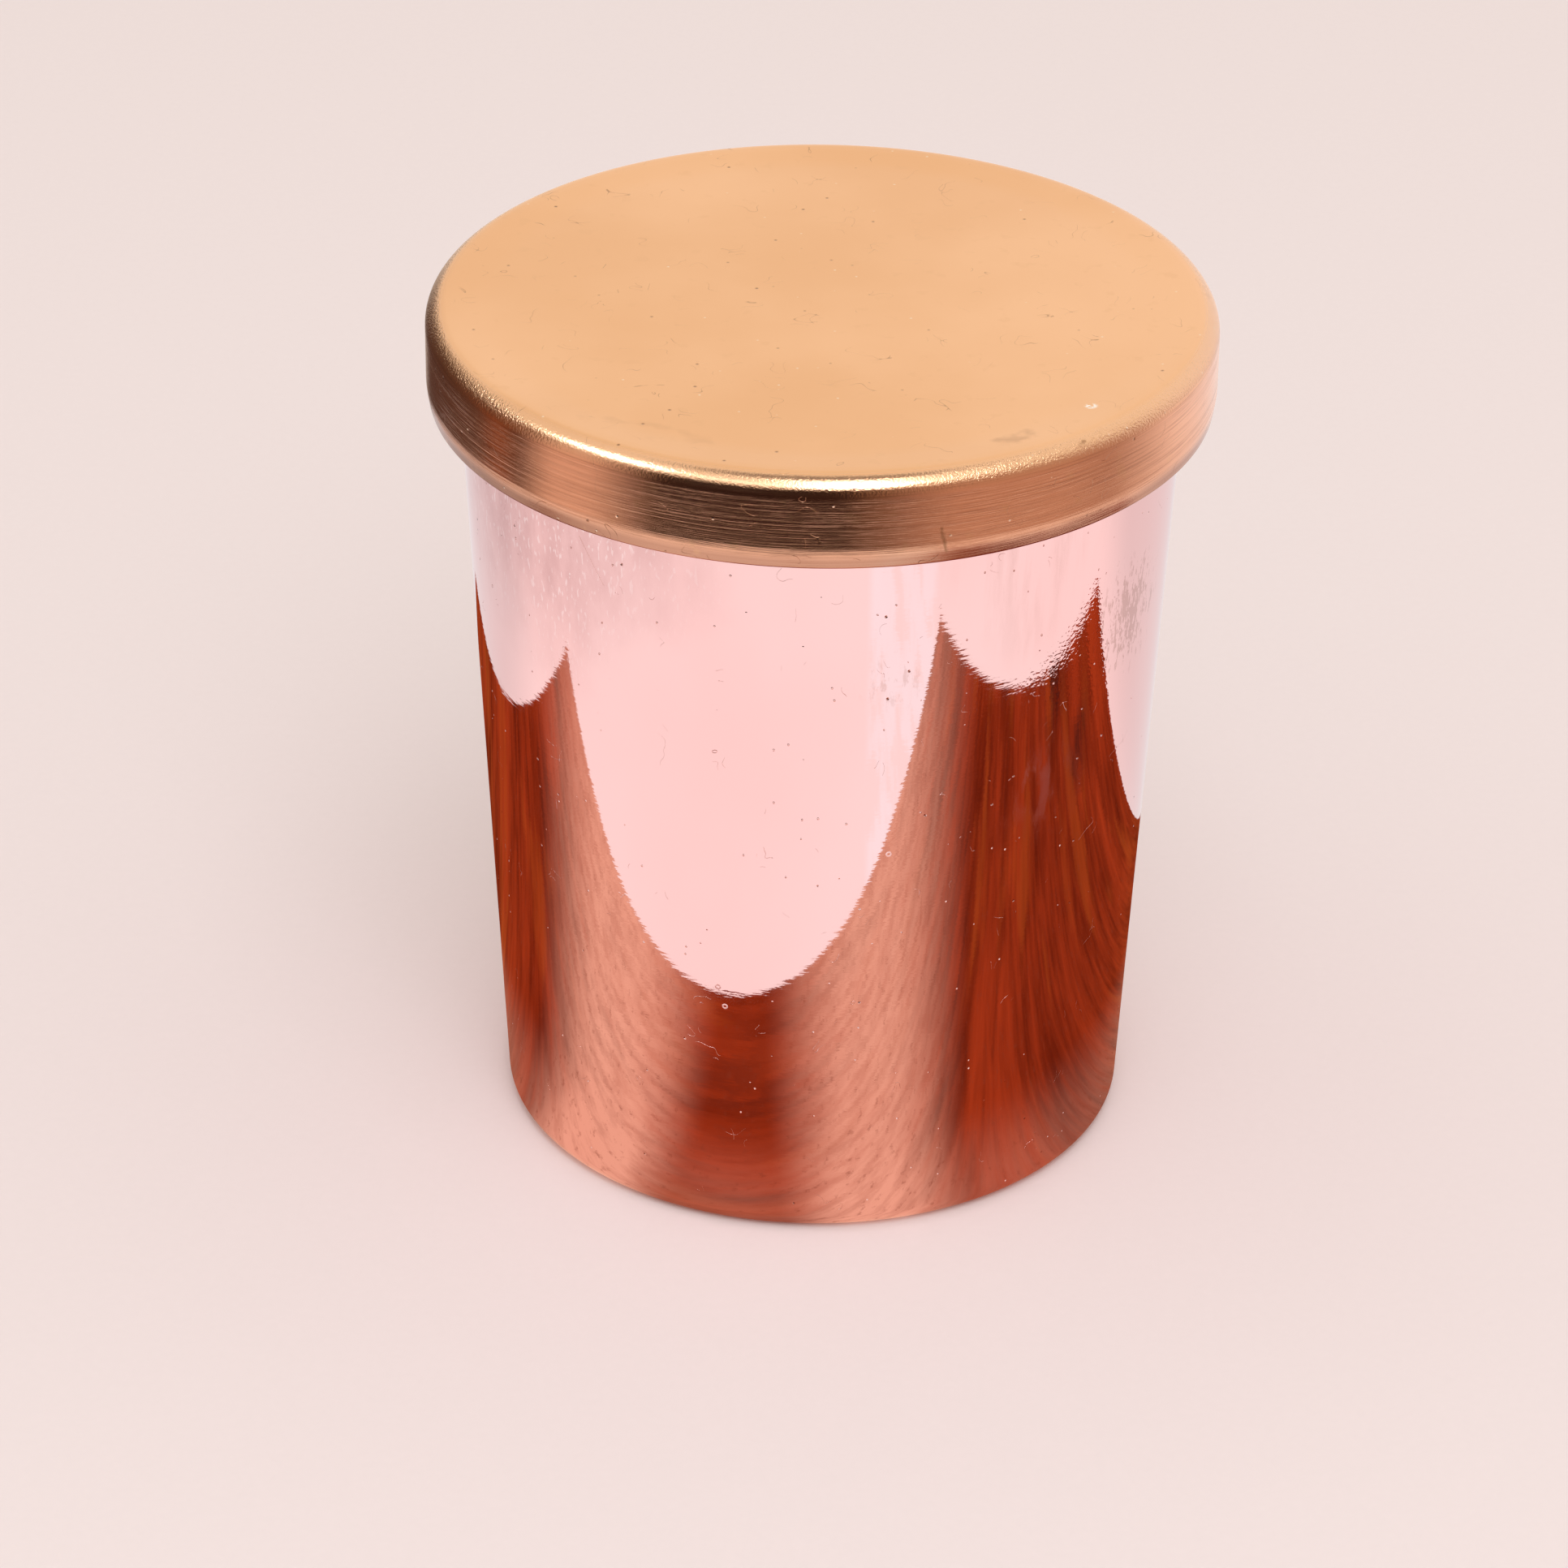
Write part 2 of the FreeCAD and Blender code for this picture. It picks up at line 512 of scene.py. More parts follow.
    def hairs(self, scale, width, cover):
        """Short curly hair lines: the thin middle contour of a noise, kept only in scattered patches."""
        wander = self.noise(self.even(scale), detail=0, distortion=0.8)
        contour = self.math("ABSOLUTE", self.math("SUBTRACT", wander, 0.5))
        patches = self.noise(self.even(0.8 * scale, self.shift(0.31, 0.17, 0.23)), detail=0)
        return self.times(self.fit(contour, width, 0.0), self.fit(patches, cover, cover + 0.03))

    def shift(self, x, y, z):
        """The surface's own coordinates, moved by metres, so that two patterns don't coincide."""
        made = self.node("ShaderNodeVectorMath", operation="ADD")
        self.feed(made.inputs[0], self.place)
        made.inputs[1].default_value = (x, y, z)
        return made.outputs[0]

    def parts(self, place):
        """The x, y and z outputs of a place."""
        made = self.node("ShaderNodeSeparateXYZ")
        self.feed(made.inputs[0], place)
        return made.outputs

    def from_axis(self):
        """The distance from the caddy's axis."""
        made = self.node("ShaderNodeVectorMath", operation="LENGTH")
        self.feed(made.inputs[0], self.stretch(1, 1, 0))
        return made.outputs["Value"]

    def bearing(self, place):
        """The direction of a place from the origin, in radians, counted as around() counts degrees."""
        x, y, _ = self.parts(place)
        return self.math("ARCTAN2", x, self.math("MULTIPLY", y, -1.0))


def rgba(r, g, b):
    return (r, g, b, 1.0)


def fill_ramp(ramp, stops):
    """Gives a colour ramp its (position, colour) stops, in rising order."""
    steps = ramp.color_ramp.elements
    while len(steps) < len(stops):
        steps.new(0.5)
    for step, (position, colour) in zip(steps, stops):
        step.position = position
        step.color = rgba(*colour)


def on_wall(degrees, height):
    """A place on the outside of the wall."""
    return around(outer_radius(height), degrees, height)


def on_skirt(degrees, height):
    """A place on the cap's skirt."""
    return around(lid_radius, degrees, height)


def on_rim(degrees):
    """A place on the rounded edge between the cap's panel and its skirt."""
    return around(lid_radius - 0.7 * MM, degrees, overall_height - 0.5 * MM)


def on_top(x, y):
    """A place on the cap's panel, x and y in millimetres."""
    return Vector((x * MM, y * MM, overall_height - panel_depth))


def wall_scratches(s):
    """Two scratches, a curl and three blisters in the plating: 1 on a mark, 0 away from it."""
    long_scratch = s.scratch(on_wall(62, 68 * MM), on_wall(33, 57.5 * MM), 0.11 * MM, 0.15 * MM, 60)
    side_scratch = s.scratch(on_wall(-40, 86 * MM), on_wall(-35.5, 81 * MM), 0.14 * MM)
    curl = s.scratch(on_wall(20, 50.2 * MM), on_wall(28, 53 * MM), 0.15 * MM, 1.1 * MM, 520)
    bubbles = s.total(s.bubble(on_wall(-16.4, 32.4 * MM)), s.bubble(on_wall(-15.2, 29.8 * MM)),
                      s.bubble(on_wall(12.2, 50.7 * MM)))
    return s.total(s.times(long_scratch, 0.6), s.times(side_scratch, 0.6), curl, s.times(bubbles, 0.7))


def plated_copper():
    """Mirror copper plating on pressed glass: ridges of the mould, orange peel, seeds, dust and tarnish."""
    s = Shader("plated_copper")
    clouds = s.noise(s.stretch(30, 30, 18), detail=3)
    colour = s.blend(s.fit(clouds, 0.35, 0.65), rgba(0.97, 0.61, 0.585), rgba(0.96, 0.65, 0.63))

    # A wash of tarnish with pale upright dashes in it, high on one side
    wash = s.near(on_wall(-54, 93 * MM), 30 * MM, 10 * MM, wobble=5 * MM)
    mottle = s.noise(s.stretch(300, 300, 110), detail=4, roughness=0.6)
    tarnish = s.times(wash, s.fit(mottle, 0.3, 0.7, 0.5, 1.0))
    dashes = s.times(wash, s.fit(s.noise(s.stretch(2700, 2700, 800), detail=1), 0.60, 0.70))
    colour = s.blend(tarnish, colour, rgba(0.71, 0.42, 0.405))
    colour = s.blend(s.times(dashes, 0.5), colour, rgba(0.98, 0.80, 0.78))

    # A fainter drip stain, and a smudge of dark flecks, on the other side
    drips = s.noise(s.stretch(420, 420, 60), detail=4, roughness=0.6)
    stain = s.times(s.near(on_wall(37, 86 * MM), 15 * MM, 4 * MM, wobble=4 * MM), s.fit(drips, 0.42, 0.64))
    colour = s.blend(s.times(stain, 0.3), colour, rgba(0.66, 0.40, 0.36))
    smudge_zone = s.near(on_wall(60.5, 71.5 * MM), 11 * MM, 1 * MM)
    flecks = s.noise(s.stretch(1250, 1250, 470), detail=3, roughness=0.7)
    smudge = s.times(s.fit(s.total(flecks, s.times(smudge_zone, 0.14)), 0.60, 0.69), smudge_zone)
    colour = s.blend(s.times(s.fit(smudge, 0.0, 0.6), 0.52), colour, rgba(0.50, 0.28, 0.23))
    scuff = s.times(s.near(on_wall(12, 73 * MM), 5 * MM, 1 * MM), s.fit(flecks, 0.52, 0.66))
    colour = s.blend(s.times(scuff, 0.45), colour, rgba(0.66, 0.38, 0.33))

    # Dust and seeds: dark pits, and pale grains that catch the light
    pits = s.specks(2.4 * MM, 0.20 * MM, 0.25)
    grains = s.specks(1.6 * MM, 0.17 * MM, 0.22)
    scratches = wall_scratches(s)
    colour = s.blend(s.times(pits, 0.8), colour, rgba(0.28, 0.15, 0.12))
    threads = s.hairs(420, 0.004, 0.73)
    bare = s.total(s.fit(grains, 0.2, 0.6), s.times(scratches, 0.55))
    s.put(base_color=colour, metallic=s.math("SUBTRACT", 1.0, bare, clamp=True))

    haze = s.near(on_wall(41, 54 * MM), 9 * MM, 1 * MM, wobble=3 * MM)
    drag = s.noise(s.stretch(500, 500, 160), detail=4, roughness=0.65)
    s.put(roughness=s.total(0.03, s.times(tarnish, 0.05), s.times(grains, 0.5), s.times(threads, 0.25),
                            s.times(stain, 0.05), s.times(haze, s.fit(drag, 0.45, 0.62), 0.14),
                            s.times(scratches, 0.3)))

    ridges = s.noise(s.stretch(380, 380, 1900), detail=2)
    peel = s.noise(s.even(2300), detail=1)
    rough_patch = s.near(on_wall(48, 72 * MM), 13 * MM, 3 * MM, wobble=4 * MM)
    normal = s.bump(ridges, 0.0032 * MM)
    normal = s.bump(s.times(peel, s.fit(rough_patch, 0.0, 1.0, 0.10, 1.0)), 0.008 * MM, normal)
    normal = s.bump(s.times(mottle, wash), 0.010 * MM, normal)
    marks = s.total(s.times(pits, -1.0), grains, s.times(threads, 0.35), s.times(scratches, 0.12),
                    s.times(dashes, 0.05))
    normal = s.bump(marks, 0.05 * MM, normal)
    s.put(normal=normal)
    return s.material


def copper_behind_glass():
    """Inside the jar: the plating on the far side of thick pressed glass, under the glass's own gloss."""
    s = Shader("copper_behind_glass")
    clouds = s.noise(s.stretch(45, 45, 30), detail=3)
    s.put(base_color=s.blend(s.fit(clouds, 0.3, 0.7), rgba(0.90, 0.62, 0.54), rgba(0.96, 0.72, 0.64)))
    s.put(metallic=1.0, roughness=s.fit(clouds, 0.3, 0.7, 0.22, 0.32))
    s.put(coat_weight=1.0, coat_roughness=0.03, coat_ior=1.5)
    flow = s.noise(s.stretch(70, 70, 25), detail=2)
    seeds = s.specks(5.0 * MM, 0.35 * MM, 0.3)
    s.put(normal=s.bump(seeds, 0.05 * MM, s.bump(flow, 0.25 * MM)))
    return s.material


def cap_marks_and_shade(s):
    """A nick, a smear and a hair on the cap, and the painted shade of a dent and a wrinkle: 1 on a mark, 0
    away from it.
    """
    nick = s.scratch(on_skirt(17.0, 93.4 * MM), on_skirt(17.8, 90.8 * MM), 0.35 * MM, 0.2 * MM, 900)
    smear = s.scratch(on_top(19.5, -34.0), on_top(22.5, -32.0), 1.5 * MM, 0.9 * MM, 420)
    # painted shade along a wrinkle in the panel
    wrinkle_shade = s.scratch(on_top(-25, -29), on_top(-12, -34), 1.2 * MM, 1.2 * MM, 260)
    long_hair = s.scratch(on_top(-21.5, -22), on_top(-17, -21.3), 0.16 * MM, 0.3 * MM, 300)
    # painted shade in a dent on the rim
    dent_shade = s.scratch(on_rim(39.4), on_rim(40.6), 0.45 * MM, 0.3 * MM, 1500)
    return s.total(nick, dent_shade, s.times(smear, 0.5), s.times(wrinkle_shade, 0.16), s.times(long_hair, 0.8))


def brushed_copper():
    """Satin copper, brushed round the axis on the skirt, grained at the rim, with small marks on top; the
    hem, a dent and a wrinkle carry painted shade.
    """
    s = Shader("brushed_copper")
    height = s.parts(s.place)["Z"]
    radius = s.from_axis()
    skirt = s.fit(height, overall_height - 0.9 * MM, overall_height - 2.4 * MM)
    rim = s.times(s.fit(radius, lid_radius - 2.0 * MM, lid_radius - 1.2 * MM),
                  s.fit(height, overall_height - 2.4 * MM, overall_height - 1.3 * MM))

    # The bare metal of the panel, the rim and the skirt, and painted shade that darkens the hem, most on the
    # left
    clouds = s.noise(s.even(26), detail=4)
    colour = s.blend(s.fit(clouds, 0.3, 0.7), rgba(0.86, 0.49, 0.255), rgba(0.93, 0.565, 0.325))
    colour = s.blend(s.times(rim, 0.55), colour, rgba(0.90, 0.57, 0.37))
    colour = s.blend(skirt, colour, rgba(0.89, 0.465, 0.29))
    # painted shade: the curled hem is darkened all round, and more towards the left front
    hem = s.fit(height, shell_low.z + 2.2 * MM, shell_low.z + 0.8 * MM)
    colour = s.blend(s.times(hem, 0.85), colour, rgba(0.55, 0.28, 0.185))
    left_hem_shade = s.times(hem, s.near(on_skirt(-66, shell_low.z), 34 * MM, 14 * MM))
    colour = s.blend(s.times(left_hem_shade, 0.75), colour, rgba(0.26, 0.12, 0.07))

    # Brushing on the skirt, stronger in some patches
    brushing = s.noise(s.stretch(45, 45, 5000), detail=3, roughness=0.6)
    strokes = s.noise(s.stretch(40, 40, 2500), detail=5, roughness=0.7)
    patches = s.fit(s.noise(s.stretch(130, 130, 330), detail=3), 0.35, 0.65, 0.35, 1.0)
    dark_strokes = s.times(s.fit(strokes, 0.45, 0.62), skirt, patches, 0.38)
    dark_lines = s.times(s.fit(brushing, 0.50, 0.62), skirt, patches, 0.48)
    colour = s.blend(dark_strokes, colour, rgba(0.55, 0.26, 0.16))
    colour = s.blend(dark_lines, colour, rgba(0.48, 0.23, 0.14))

    # Specks, glints, hairs and stains all over, the larger marks with the painted shade of a dent and a
    # wrinkle, and one pale fleck
    specks = s.specks(2.8 * MM, 0.29 * MM, 0.36)
    glints = s.specks(2.1 * MM, 0.22 * MM, 0.25, s.shift(0.11, 0.07, 0.0))
    threads = s.hairs(330, 0.0055, 0.635)
    stains = s.times(s.fit(s.noise(s.even(420), detail=4), 0.60, 0.72), 0.25)
    colour = s.blend(s.times(specks, 0.9), colour, rgba(0.24, 0.12, 0.07))
    colour = s.blend(s.times(threads, 0.7), colour, rgba(0.40, 0.22, 0.12))
    colour = s.blend(s.times(glints, 0.9), colour, rgba(1.0, 0.82, 0.64))
    # the nick, smear and hair are dark marks; the dent and the wrinkle are painted shade
    colour = s.blend(s.times(cap_marks_and_shade(s), 0.75), colour, rgba(0.40, 0.21, 0.11))
    colour = s.blend(stains, colour, rgba(0.80, 0.46, 0.24))
    fleck = s.times(s.near(on_top(29.1, -25.2), 0.9 * MM, 0.3 * MM),
                    s.fit(s.noise(s.even(3000), detail=1), 0.45, 0.55))
    colour = s.blend(fleck, colour, rgba(0.90, 0.90, 0.88))
    s.put(base_color=colour, metallic=s.math("SUBTRACT", 1.0, fleck))

    # Smoother skirt and rim, grain at the ends of the rim, and a fine satin
    s.put(roughness=s.total(0.29, s.times(s.fit(strokes, 0.5, 0.7), skirt, 0.10), s.times(skirt, -0.15),
                            s.times(s.fit(clouds, 0.3, 0.7), 0.05), s.times(rim, -0.11)))
    grain = s.noise(s.even(3600), detail=2, roughness=0.6)
    satin = s.noise(s.even(9000), detail=0)
    normal = s.bump(s.times(brushing, skirt), 0.012 * MM)
    normal = s.bump(s.times(strokes, skirt, patches), 0.020 * MM, normal)
    rim_ends = s.math("SUBTRACT", 1.0, s.times(s.near(on_rim(-14), 32 * MM, 20 * MM), 0.7))
    normal = s.bump(s.times(grain, rim, rim_ends), 0.10 * MM, normal)
    normal = s.bump(satin, 0.0012 * MM, normal)
    normal = s.bump(s.total(s.times(specks, -1.0), s.times(threads, -0.4), glints), 0.03 * MM, normal)
    s.put(normal=normal)
    return s.material


def pressed_copper():
    """The inner cup: the same plated sheet, dull as it left the die."""
    s = Shader("pressed_copper")
    clouds = s.noise(s.even(60), detail=4)
    s.put(base_color=s.blend(clouds, rgba(0.80, 0.47, 0.31), rgba(0.90, 0.57, 0.40)), metallic=1.0)
    grain = s.noise(s.even(2500), detail=2)
    s.put(roughness=s.fit(clouds, 0.2, 0.8, 0.3, 0.42), normal=s.bump(grain, 0.003 * MM))
    return s.material


def seal_silicone():
    """Milky translucent silicone."""
    s = Shader("seal_silicone")
    haze = s.noise(s.even(300), detail=2)
    s.put(base_color=s.blend(haze, rgba(0.80, 0.79, 0.76), rgba(0.88, 0.87, 0.84)))
    s.put(roughness=s.fit(haze, 0.3, 0.7, 0.32, 0.42), normal=s.bump(haze, 0.01 * MM))
    s.put(subsurface_weight=0.6, subsurface_radius=(1.2, 1.1, 1.0), subsurface_scale=1.0 * MM)
    return s.material


def floor_paper():
    """Matt, very pale paper."""
    s = Shader("floor_paper")
    fibre = s.noise(s.even(900), detail=3)
    s.put(base_color=s.blend(fibre, rgba(0.81, 0.74, 0.77), rgba(0.83, 0.76, 0.79)))
    s.put(roughness=1.0, specular_ior_level=0.0, normal=s.bump(fibre, 0.005 * MM))
    return s.material


# ---------------------------------------------------------------- the pieces

def dress(piece, material, body, node):
    """Gives a piece its material, and puts it in its node's place on its body."""
    piece.data.materials.append(material)
    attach(piece, body)
    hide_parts(node)


def is_inside(centre):
    """Faces of the jar that are nearer its inside than its outside."""
    beside_axis = math.hypot(centre.x, centre.y)
    return centre.z > floor_height / 2 and beside_axis < outer_radius(centre.z) - wall / 2


def line_inside(jar, material):
    """Gives the jar's inside faces a second material."""
    jar.data.materials.append(material)
    for face in jar.data.polygons:
        face.material_index = int(is_inside(face.center))


jar_piece = make_jar()
dress(jar_piece, plated_copper(), "jar", "jar_body")
line_inside(jar_piece, copper_behind_glass())
dress(make_shell(), brushed_copper(), "lid", "lid_shell")
dress(make_cup(), pressed_copper(), "lid", "lid_inner_cup")
dress(make_seal(), seal_silicone(), "seal", "seal_ring")


# ---------------------------------------------------------------- stage

def glow_material(name, colour):
    """A card that shines evenly."""
    s = Shader(name)
    s.shine(rgba(*colour))
    return s.material


def mirrored_in(s, degrees, width):
    """1 on the part of a card that the wall mirrors at degrees, falling to 0 at width degrees to each side.

    A round mirror shows things as if seen from a point between its surface and its axis.
    """
    offset = s.node("ShaderNodeVectorMath", operation="SUBTRACT")
    s.feed(offset.inputs[0], s.place)
    offset.inputs[1].default_value = around(wall_focus * lid_radius, degrees, 0)
    away = s.math("ABSOLUTE", s.math("SUBTRACT", s.bearing(offset.outputs[0]), math.radians(2 * degrees)))
    return s.fit(away, math.radians(2 * width), math.radians(0.3 * width))


def board_material():
    """The dark board, a card that glows its own colour: brown streaks along its length, two pale painted
    sheens of the lamps, and a paler painted sheen round the foot.
    """
    s = Shader("board_brown")
    turned = s.node("ShaderNodeMapping")
    s.feed(turned.inputs["Vector"], s.place)
    turned.inputs["Rotation"].default_value = (0, 0, -board_turn)
    grain = turned.outputs[0]
    broad = s.noise(s.stretch(9, 50, 1, grain), detail=2, distortion=0.8)
    fine = s.noise(s.stretch(55, 300, 1, grain), detail=4, roughness=0.62, distortion=0.5)
    lines = s.noise(s.stretch(22, 520, 1, grain), detail=3, roughness=0.6)
    shade = s.fit(s.total(s.times(broad, 0.5), s.times(fine, 0.28), s.times(lines, 0.22)), 0.33, 0.64)
    brown = s.blend(shade, rgba(0.125, 0.014, 0.004), rgba(0.39, 0.053, 0.013))
    figure = s.total(s.near(Vector((131, -36, 0)) * MM, 17 * MM, 3 * MM, wobble=7 * MM),
                     s.near(Vector((117, -8, 0)) * MM, 15 * MM, 3 * MM, wobble=7 * MM),
                     s.times(s.near(Vector((-22, -58, 0)) * MM, 20 * MM, 4 * MM, wobble=9 * MM), 0.5))
    brown = s.blend(s.times(figure, s.fit(fine, 0.38, 0.58), 0.85), brown, rgba(0.050, 0.012, 0.009))
    orange = s.fit(s.noise(s.stretch(16, 90, 1, grain), detail=3, distortion=0.6), 0.52, 0.68)
    brown = s.blend(s.times(orange, 0.4), brown, rgba(0.47, 0.098, 0.017))
    # painted reflections: two lamp sheens on the board, and a paler sheen round the foot
    foot_sheen = s.times(s.fit(s.from_axis(), 54 * MM, 38 * MM), 0.2)
    sheen = s.total(mirrored_in(s, -32, 21), s.times(mirrored_in(s, 8.5, 19), 0.92), foot_sheen)
    mottle = s.noise(s.stretch(95, 500, 1, grain), detail=5, roughness=0.62)
    mottled = s.times(sheen, s.fit(mottle, 0.3, 0.65, 0.66, 1.0))
    pores = s.fit(s.noise(s.stretch(420, 900, 1, grain), detail=4, roughness=0.65), 0.56, 0.70)
    board = s.blend(mottled, brown, rgba(0.89, 0.52, 0.37))
    s.shine(s.blend(s.times(pores, 0.45), board, rgba(0.24, 0.060, 0.030)))
    return s.material


def add_sheet(name, points, faces, material):
    """A stage sheet."""
    data = bpy.data.meshes.new(name)
    data.from_pydata(points, [], faces)
    data.materials.append(material)
    sheet = bpy.data.objects.new(name, data)
    bpy.context.scene.collection.objects.link(sheet)
    return sheet


def add_flat(name, corners, material):
    """A flat stage sheet with one face."""
    return add_sheet(name, corners, [tuple(range(len(corners)))], material)


def only_reflected(sheet):
    """Keeps a studio card out of the picture: it shows only in what the metal mirrors."""
    sheet.visible_camera = False
    sheet.visible_diffuse = False
    sheet.visible_transmission = False
    sheet.visible_shadow = False
    sheet.visible_volume_scatter = False


def add_floor():
    """The plain floor. The metal mirrors the cards just under it instead."""
    half = floor_half
    corners = [(-half, -half, 0), (half, -half, 0), (half, half, 0), (-half, half, 0)]
    floor = add_flat("floor", corners, floor_paper())
    floor.visible_glossy = False
    floor.visible_shadow = False


def add_ring_card(name, start, end, inner, outer, material, height):
    """A flat card between two radii and two directions."""
    count = max(2, math.ceil((end - start) / 5))
    turns = [start + (end - start) * k / count for k in range(count + 1)]
    corners = [around(inner, d, height) for d in turns] + [around(outer, d, height) for d in reversed(turns)]
    only_reflected(add_flat(name, corners, material))


def add_dome_card(name, start, end, low, high, material, distance=card_distance):
    """A curved card at one distance from the caddy, between two directions and two elevations."""
    columns = max(2, math.ceil((end - start) / 5))
    rows = max(2, math.ceil((high - low) / 5))
    points = []
    for j in range(rows + 1):
        elevation = math.radians(low + (high - low) * j / rows)
        for i in range(columns + 1):
            degrees = start + (end - start) * i / columns
            points.append(around(distance * math.cos(elevation), degrees, distance * math.sin(elevation)))
    faces = []
    for j in range(rows):
        for i in range(columns):
            corner = j * (columns + 1) + i
            faces.append((corner, corner + 1, corner + columns + 2, corner + columns + 1))
    only_reflected(add_sheet(name, points, faces, material))


def add_board():
    """A dark glowing board under the caddy, turned a little, a painted reflection which gives the mirror
    wall its deep copper.
    """
    centre = Vector((*board_centre, 0)) * lid_radius + Vector((0, 0, -0.3 * MM))
    along = Vector((math.cos(board_turn), math.sin(board_turn), 0)) * board_half_length * lid_radius
    across = Vector((-math.sin(board_turn), math.cos(board_turn), 0)) * board_half_width * lid_radius
    near_side = [centre - along - across, centre + along - across]
    far_side = [centre + along + across, centre - along + across]
    only_reflected(add_flat("board", near_side + far_side, board_material()))


def table_material():
    """The bright glowing table that the mirror wall sees: painted shade makes it dimmer behind the caddy,
    and one whiter stripe is a painted highlight.
    """
    s = Shader("card_table")
    # painted shade: the card is dimmer behind the caddy
    behind = s.fit(s.parts(s.place)["Y"], 0.0, 60 * MM)
    colour = s.blend(behind, rgba(1.06, 1.0, 1.0), rgba(0.84, 0.79, 0.80))
    # painted highlight: one whiter, ragged stripe
    ragged = s.fit(s.noise(s.stretch(70, 40, 1), detail=5, roughness=0.65), 0.40, 0.52)
    stripe = s.times(s.fit(mirrored_in(s, 13, 8), 0.15, 0.5), ragged)
    s.shine(s.blend(stripe, colour, rgba(1.05, 1.10, 1.15)))
    return s.material


def surroundings_material():
    """What the metal mirrors from further off, a glowing card with a room's light and shade painted on it:
    dark painted shade in front, brown to the left, cream behind.

    It starts softly where the table ends, and fades into the world's light higher up.
    """
    s = Shader("card_surroundings")
    ramp = s.node("ShaderNodeValToRGB")
    s.feed(ramp.inputs[0], s.fit(s.bearing(s.place), -math.pi, math.pi, kind="LINEAR"))
    # painted light and shade of a room, by direction round the caddy
    dark, brown, orange = (0.022, 0.008, 0.005), (0.085, 0.042, 0.029), (0.25, 0.085, 0.036)
    middle, dusk, pale = (0.54, 0.35, 0.27), (0.45, 0.29, 0.23), (0.74, 0.55, 0.47)
    cream, table = (0.98, 0.91, 0.82), (1.0, 0.92, 0.90)
    stops = [(-180, cream), (-165, cream), (-149, brown), (-107, brown), (-97, orange), (-88, brown),
             (-76, pale), (-64, pale), (-44, dark), (6, dark), (36, middle), (66, middle), (84, dusk),
             (114, table), (150, table), (180, cream)]
    fill_ramp(ramp, [((degrees + 180) / 360, colour) for degrees, colour in stops])
    inner_edge = s.fit(s.from_axis(), room_start_soft * lid_radius, room_start * lid_radius)
    colour = s.blend(inner_edge, ramp.outputs[0], rgba(*table))
    fade = s.fit(s.parts(s.place)["Z"], room_fade_low, room_fade_high)
    s.shine(s.blend(fade, colour, rgba(*cream)))
    return s.material


def add_cards():
    """The glowing table, board and room cards, with painted light and shade that the metal mirrors, and
    bright strips for the cap's rounded edge.
    """
    add_ring_card("table_card", 0, 360, 1 * MM, table_reach, table_material(), -0.6 * MM)
    add_board()
    surroundings = surroundings_material()
    add_ring_card("surroundings", -180, 180, room_start * lid_radius, card_distance, surroundings, -0.4 * MM)
    # the backdrop dome carries the same painted room
    add_dome_card("backdrop", -180, 180, -2, 36, surroundings)
    white_light = glow_material("card_white", (11, 11.5, 12.5))
    rim_light = glow_material("card_rim", (2.0, 1.95, 1.95))
    soft_light = glow_material("card_soft", (0.90, 0.81, 0.69))
    add_dome_card("strip_key", -2, 24, 43, 52, white_light, strip_distance)
    add_dome_card("strip_fill", -84, -56, 43, 52, white_light, strip_distance)
    add_dome_card("rim_front", -88, 44, 43, 53, rim_light)
    add_dome_card("rim_left", -170, -88, 38, 60, soft_light)
    add_dome_card("rim_right", 44, 110, 36, 60, soft_light)


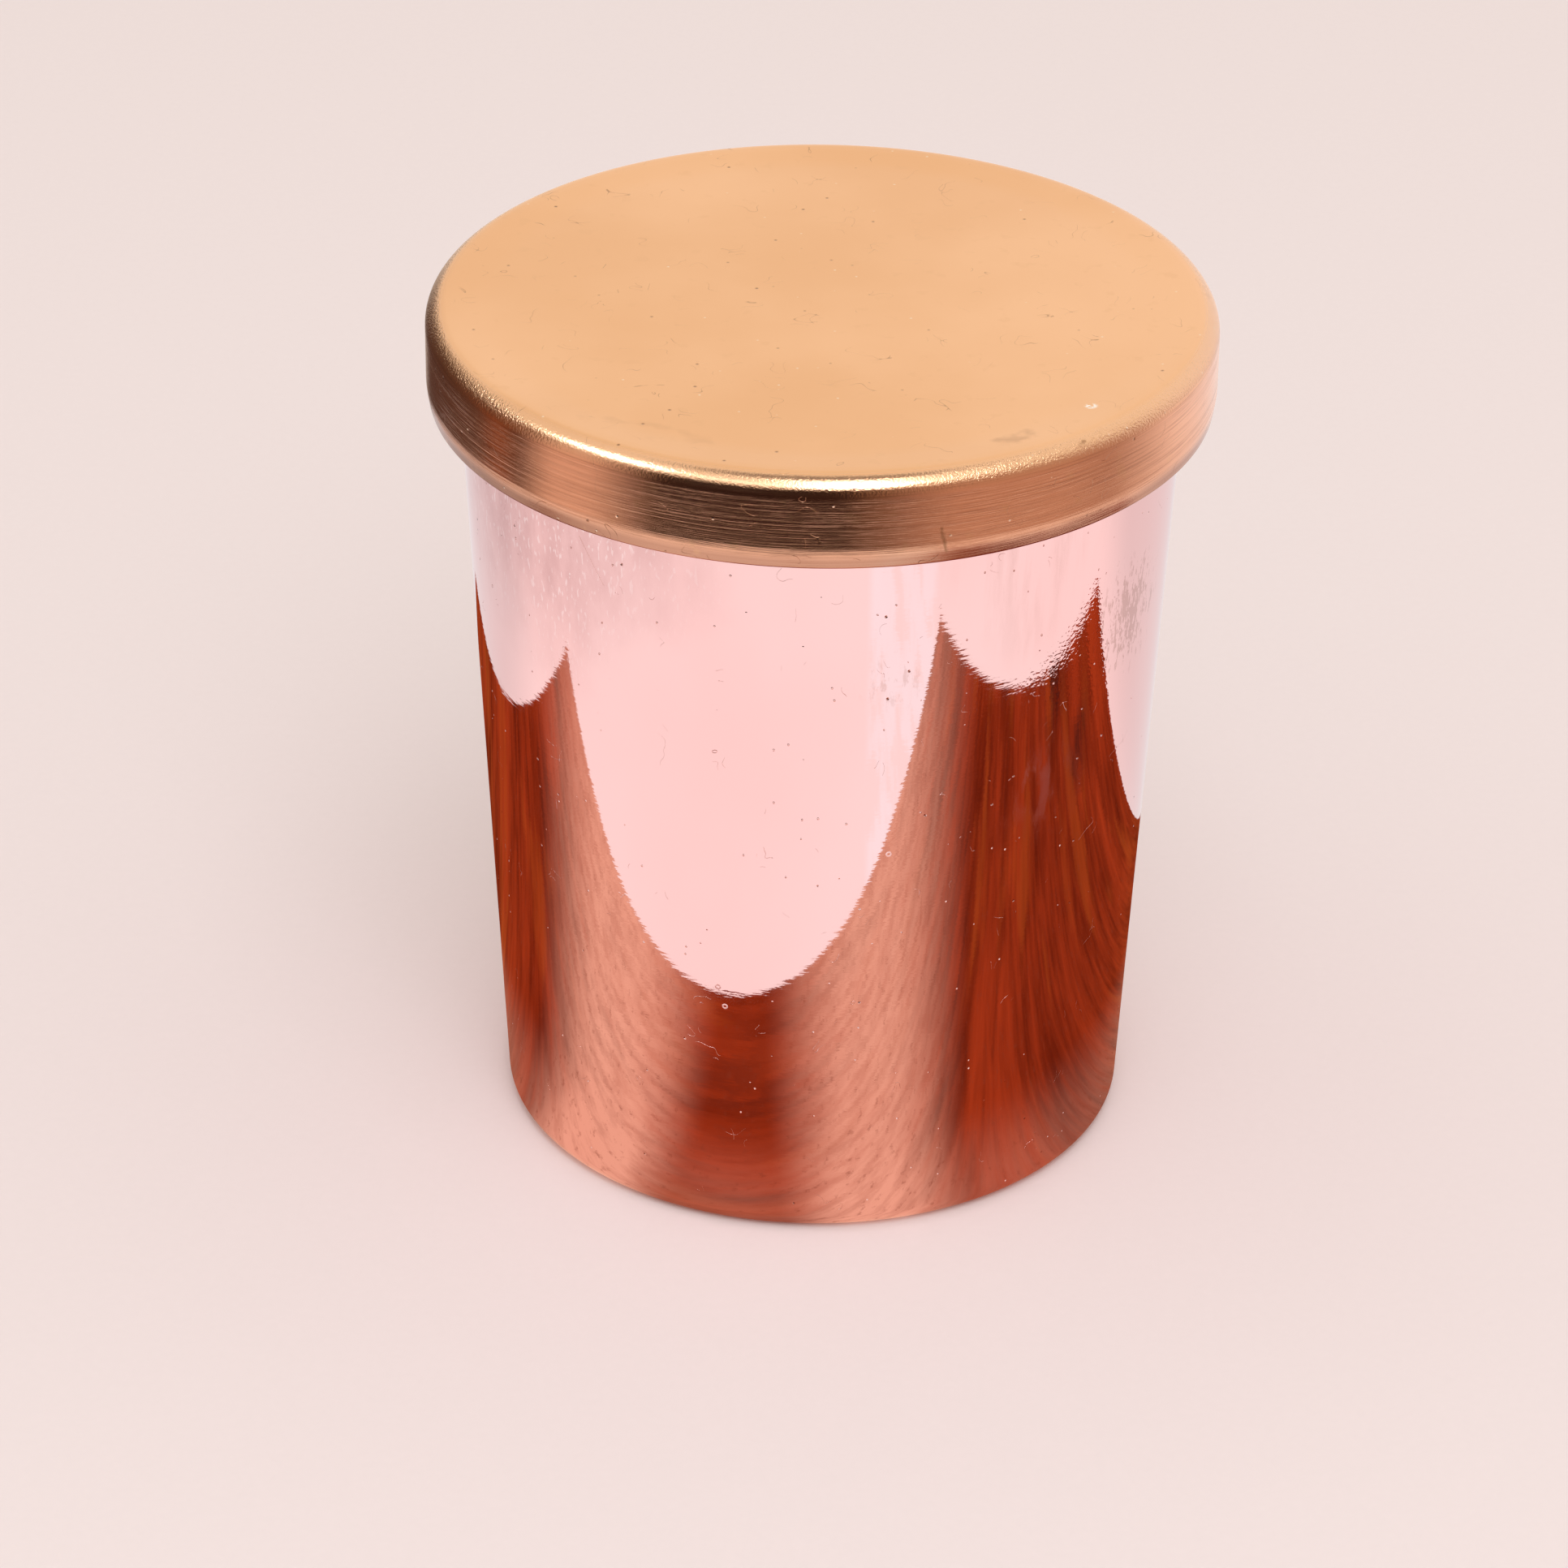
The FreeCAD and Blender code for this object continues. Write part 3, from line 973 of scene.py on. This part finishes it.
def add_softbox(name, degrees, elevation, distance, width, depth, radiance):
    """A soft rectangular lamp facing the caddy."""
    flat = distance * math.cos(math.radians(elevation))
    place = around(flat, degrees, distance * math.sin(math.radians(elevation)))
    light = bpy.data.lights.new(name, "AREA")
    light.shape = "RECTANGLE"
    light.size, light.size_y = width, depth
    light.energy = radiance * math.pi * width * depth
    lamp = bpy.data.objects.new(name, light)
    lamp.location = place
    lamp.rotation_euler = (-place).to_track_quat("-Z", "Y").to_euler()
    bpy.context.scene.collection.objects.link(lamp)


def add_world():
    """Soft light all round: warm cream from the sides, dimmer and neutral from above."""
    world = bpy.data.worlds.new("studio")
    bpy.context.scene.world = world
    world.use_nodes = True
    nodes, links = world.node_tree.nodes, world.node_tree.links
    direction = nodes.new("ShaderNodeTexCoord")
    split = nodes.new("ShaderNodeSeparateXYZ")
    links.new(direction.outputs["Generated"], split.inputs[0])
    ramp = nodes.new("ShaderNodeValToRGB")
    links.new(split.outputs["Z"], ramp.inputs[0])
    fill_ramp(ramp, [(0.0, (0.76, 0.68, 0.64)), (0.3, (1.0, 0.93, 0.84)), (0.92, (1.0, 0.92, 0.82)),
                     (0.985, (0.30, 0.27, 0.25)), (1.0, (0.28, 0.26, 0.25))])
    links.new(ramp.outputs[0], nodes["Background"].inputs["Color"])
    nodes["Background"].inputs["Strength"].default_value = 0.98


def add_camera():
    """A long lens about thirty degrees above the table."""
    reach = 14.52 * lid_radius
    height = 9.14 * lid_radius
    pitch, yaw, roll = math.radians(29.70), math.radians(-0.33), math.radians(0.65)
    forward = Vector((math.sin(yaw) * math.cos(pitch), math.cos(yaw) * math.cos(pitch), -math.sin(pitch)))
    level = Vector((math.cos(yaw), -math.sin(yaw), 0))
    upward = level.cross(forward)
    right = math.cos(roll) * level + math.sin(roll) * upward
    up = -math.sin(roll) * level + math.cos(roll) * upward
    data = bpy.data.cameras.new("camera")
    data.sensor_width = 36
    data.lens = 146.3
    data.clip_start, data.clip_end = 0.05, 20
    camera = bpy.data.objects.new("camera", data)
    camera.matrix_world = Matrix((
        (right.x, up.x, -forward.x, 0),
        (right.y, up.y, -forward.y, -reach),
        (right.z, up.z, -forward.z, height),
        (0, 0, 0, 1),
    ))
    bpy.context.scene.collection.objects.link(camera)
    bpy.context.scene.camera = camera


add_floor()
add_cards()
add_world()
add_softbox("key", degrees=12, elevation=57, distance=1.2, width=0.45, depth=0.9, radiance=3)
add_camera()
bpy.context.scene.view_settings.view_transform = "Standard"
